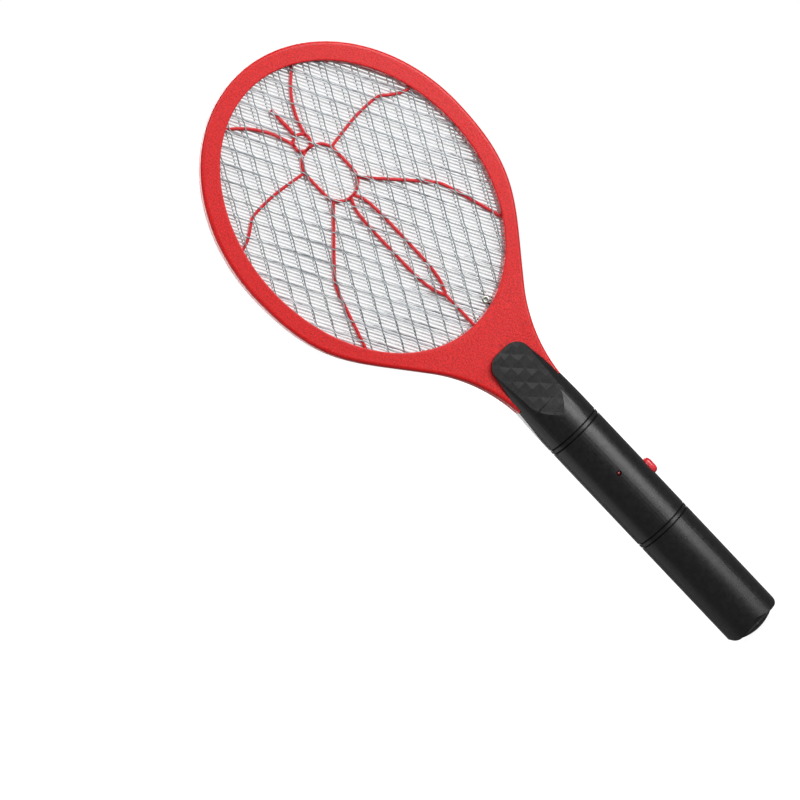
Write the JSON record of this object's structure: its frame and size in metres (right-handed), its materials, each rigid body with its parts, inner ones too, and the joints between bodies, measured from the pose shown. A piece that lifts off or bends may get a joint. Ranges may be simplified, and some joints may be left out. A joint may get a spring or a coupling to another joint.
{
  "type": "electric fly swatter",
  "caption": "Racket-shaped electric fly swatter: diamond-mesh head in a plastic frame on a straight battery handle with a side button and a hinged battery cover.",
  "frame": {"origin": "lowest point of the end tab, on the racket's centre line and in the parting plane of the two shells", "axes": "+Z along the racket from the handle's end to the top of the head, front face towards -Y, button on the +X side"},
  "size_m": [0.1704, 0.03, 0.46],
  "materials": {
    "red_frame": "fine moulded grain, satin",
    "red_ribs": "moulded, satin",
    "black_shell": "moulded, semi-gloss",
    "button_red": "moulded, gloss",
    "mesh_metal": "expanded sheet, dull",
    "grid_metal": "bright strips",
    "eyelet_metal": "plated",
    "board_green": "phenolic paper laminate",
    "ferrite": "sintered, dull",
    "bobbin_nylon": "moulded",
    "winding_copper": "enamelled wire",
    "capacitor_coat": "dipped resin",
    "black_parts": "moulded epoxy",
    "resistor_coat": "lacquer",
    "bleed_coat": "lacquer",
    "lamp_red": "tinted clear resin",
    "plunger_cream": "moulded",
    "cell_wrap": "shrink sleeve",
    "contact_metal": "nickel plated",
    "wire_red": "insulation",
    "wire_black": "insulation",
    "wire_white": "insulation",
    "screw_steel": "zinc plated"
  },
  "bodies": {
    "racket": {"front_frame": "red_frame", "back_frame": "red_frame", "front_mesh": "mesh_metal", "back_mesh": "mesh_metal", "middle_grid": "grid_metal", "front_rib_guard": "red_ribs", "back_rib_guard": "red_ribs", "mesh_eyelets": "eyelet_metal", "handle_front_shell": "black_shell", "handle_back_shell": "black_shell", "switch_body": "black_parts", "circuit_board": "board_green", "transformer_core": "ferrite", "transformer_bobbin": "bobbin_nylon", "transformer_winding": "winding_copper", "storage_capacitor": "capacitor_coat", "multiplier_capacitors": "capacitor_coat", "rectifier_diodes": "black_parts", "transistor": "black_parts", "board_resistors": "resistor_coat", "bleed_resistor": "bleed_coat", "indicator_lamp": "lamp_red", "cell_left": "cell_wrap", "cell_right": "cell_wrap", "cell_springs": "contact_metal", "cell_bridge": "contact_metal", "positive_contact": "contact_metal", "negative_contact": "contact_metal", "positive_lead": "wire_red", "negative_lead": "wire_black", "high_voltage_lead": "wire_white", "front_mesh_lead": "wire_black", "back_mesh_lead": "wire_black", "neck_screws": "screw_steel", "handle_screws": "screw_steel"},
    "button": {"push_button": "button_red"},
    "plunger": {"switch_plunger": "plunger_cream"},
    "cover": {"battery_cover": "black_shell"}
  },
  "joints": [
    {"name": "button_press", "type": "slide", "parent": "racket", "child": "button", "axis": [-1, 0, 0], "range_m": [0, 0.0015], "stiffness_N_per_m": 600, "springref_m": -0.0008},
    {"name": "plunger_press", "type": "slide", "parent": "racket", "child": "plunger", "axis": [-1, 0, 0], "range_m": [0, 0.0015]},
    {"name": "cover_hinge", "type": "hinge", "parent": "racket", "child": "cover", "pos_m": [0, 0.015, 0.08355], "axis": [1, 0, 0], "range_deg": [0, 60]}
  ],
  "couplings": [
    {"joint": "plunger_press", "follows": "button_press", "ratio": 1}
  ]
}
